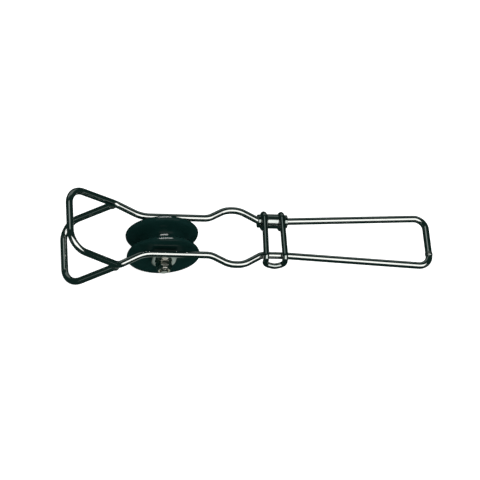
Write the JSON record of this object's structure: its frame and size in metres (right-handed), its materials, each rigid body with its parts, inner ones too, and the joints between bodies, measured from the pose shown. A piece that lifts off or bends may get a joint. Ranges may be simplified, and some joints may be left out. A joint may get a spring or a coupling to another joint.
{
  "type": "single sheave block",
  "caption": "Wire-frame sheave block: grooved sheave on lugs, splayed end bails, closed end loop and a swinging wire latch.",
  "frame": {"origin": "centre of the sheave, on its axle's axis", "axes": "+X along the block from the bails towards the closed end loop, +Y along the axle from the nut towards the bolt head, +Z from the axle towards the plane of the wire frame"},
  "size_m": [0.2574, 0.0534, 0.064],
  "materials": {
    "stainless_wire": "mirror-polished stainless steel rod",
    "latch_wire": "mirror-polished stainless steel rod",
    "stainless_plate": "polished stainless steel plate",
    "stainless_collar": "turned and polished stainless steel",
    "stainless_fastener": "bright stainless steel fastener",
    "weld_metal": "dull bead of weld metal",
    "sheave_plastic": "glossy black moulded plastic",
    "bush_bronze": "sintered bronze, oiled",
    "acetal_washer": "natural acetal",
    "nylon_insert": "natural nylon"
  },
  "bodies": {
    "frame": {"frame_wire": "stainless_wire", "lower_bail": "stainless_wire", "junction_welds": "weld_metal", "end_weld": "weld_metal", "lug_welds": "weld_metal", "lug_near": "stainless_plate", "lug_far": "stainless_plate", "axle_bolt": "stainless_fastener", "head_washer": "stainless_fastener", "nut_washer": "stainless_fastener", "lock_nut": "stainless_fastener", "lock_nut_insert": "nylon_insert", "axle_sleeve": "stainless_fastener", "thrust_washer_near": "acetal_washer", "thrust_washer_far": "acetal_washer", "stop_collar_bulge_side": "stainless_collar", "stop_collar_loop_side": "stainless_collar"},
    "sheave": {"sheave": "sheave_plastic", "sheave_bush": "bush_bronze"},
    "latch": {"latch_wire": "latch_wire"},
    "spacer": {"latch_spacer": "stainless_collar"}
  },
  "joints": [
    {"name": "sheave_spin", "type": "hinge", "parent": "frame", "child": "sheave", "pos_m": [0, 0, 0], "axis": [0, 1, 0], "continuous": true},
    {"name": "latch_swing", "type": "hinge", "parent": "frame", "child": "latch", "pos_m": [0.075, 0.0133, 0.0135], "axis": [-1, 0, 0], "range_deg": [0, 335]},
    {"name": "spacer_spin", "type": "hinge", "parent": "frame", "child": "spacer", "pos_m": [0.075, 0.0133, 0.0135], "axis": [1, 0, 0], "continuous": true}
  ]
}
